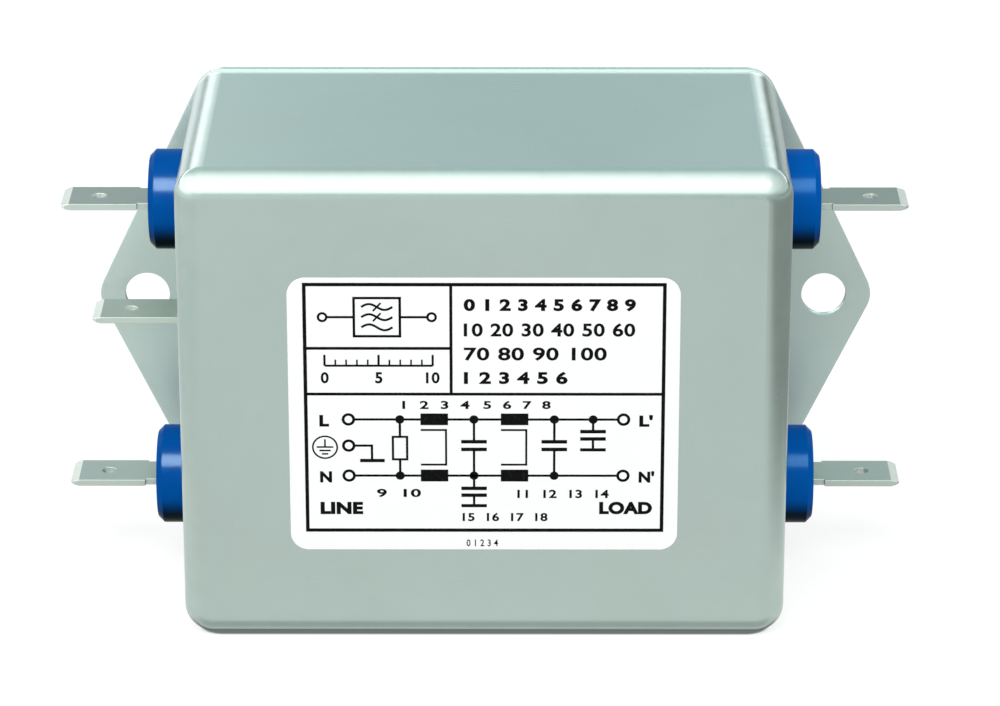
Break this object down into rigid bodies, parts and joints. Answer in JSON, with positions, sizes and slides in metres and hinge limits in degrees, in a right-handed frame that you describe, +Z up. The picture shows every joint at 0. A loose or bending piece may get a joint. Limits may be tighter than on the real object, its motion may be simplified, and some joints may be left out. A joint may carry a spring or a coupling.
{
  "type": "emi power line filter",
  "caption": "Power line filter in a drawn steel can on a base plate with two mounting ears, with blade terminals in round insulating bushings and an earth blade.",
  "frame": {"origin": "middle between the two mounting holes, on the mounting face at the back of the base plate", "axes": "+X towards the load side, along the line of the mounting holes; +Y out of the mounting face, into the chassis; the label faces -Y; +Z up as pictured, from the neutral blades to the phase blades"},
  "size_m": [0.101, 0.0401, 0.0584],
  "materials": {
    "can_steel": "tin-plated deep-drawn steel, satin",
    "plate_steel": "tin-plated stamped steel, satin",
    "label_film": "white film, semi-matt",
    "bushing_plastic": "blue moulded plastic, glossy",
    "tinned_blade": "tin-plated brass, satin",
    "earth_metal": "tin-plated steel, satin",
    "spring_steel": "spring steel, plain",
    "liner_sheet": "insulating sheet, matt",
    "resin": "cast resin, matt",
    "ferrite": "coated ring core, semi-matt",
    "copper": "enamelled copper wire, glossy",
    "divider_plastic": "moulded plastic, matt",
    "x_cap_case": "moulded case, semi-matt",
    "y_cap_case": "moulded case, semi-matt",
    "resistor_body": "lacquered film resistor, semi-matt",
    "wire_red": "insulated wire, semi-matt",
    "wire_blue": "insulated wire, semi-matt",
    "wire_green": "insulated wire, semi-matt"
  },
  "bodies": {
    "root": {"can": "can_steel", "base_plate": "plate_steel", "label": "label_film", "bushing_line_l": "bushing_plastic", "bushing_line_n": "bushing_plastic", "bushing_load_l": "bushing_plastic", "bushing_load_n": "bushing_plastic", "tab_line_l": "tinned_blade", "tab_line_n": "tinned_blade", "tab_load_l": "tinned_blade", "tab_load_n": "tinned_blade", "retainer_line_l": "spring_steel", "retainer_line_n": "spring_steel", "retainer_load_l": "spring_steel", "retainer_load_n": "spring_steel", "earth_tab": "earth_metal", "earth_rivet": "earth_metal", "liner": "liner_sheet", "potting": "resin", "choke1_core": "ferrite", "choke1_winding_a": "copper", "choke1_winding_b": "copper", "choke1_divider": "divider_plastic", "choke2_core": "ferrite", "choke2_winding_a": "copper", "choke2_winding_b": "copper", "choke2_divider": "divider_plastic", "x_capacitor_1": "x_cap_case", "x_capacitor_2": "x_cap_case", "y_capacitor_1": "y_cap_case", "y_capacitor_2": "y_cap_case", "discharge_resistor": "resistor_body", "wire_line_l": "wire_red", "wire_line_n": "wire_blue", "wire_mid_l": "wire_red", "wire_mid_n": "wire_blue", "wire_load_l": "wire_red", "wire_load_n": "wire_blue", "wire_earth": "wire_green", "wire_x1_l": "wire_red", "wire_x1_n": "wire_blue", "wire_x2_l": "wire_red", "wire_x2_n": "wire_blue", "wire_y_l": "wire_red", "wire_y_n": "wire_blue"}
  },
  "joints": []
}
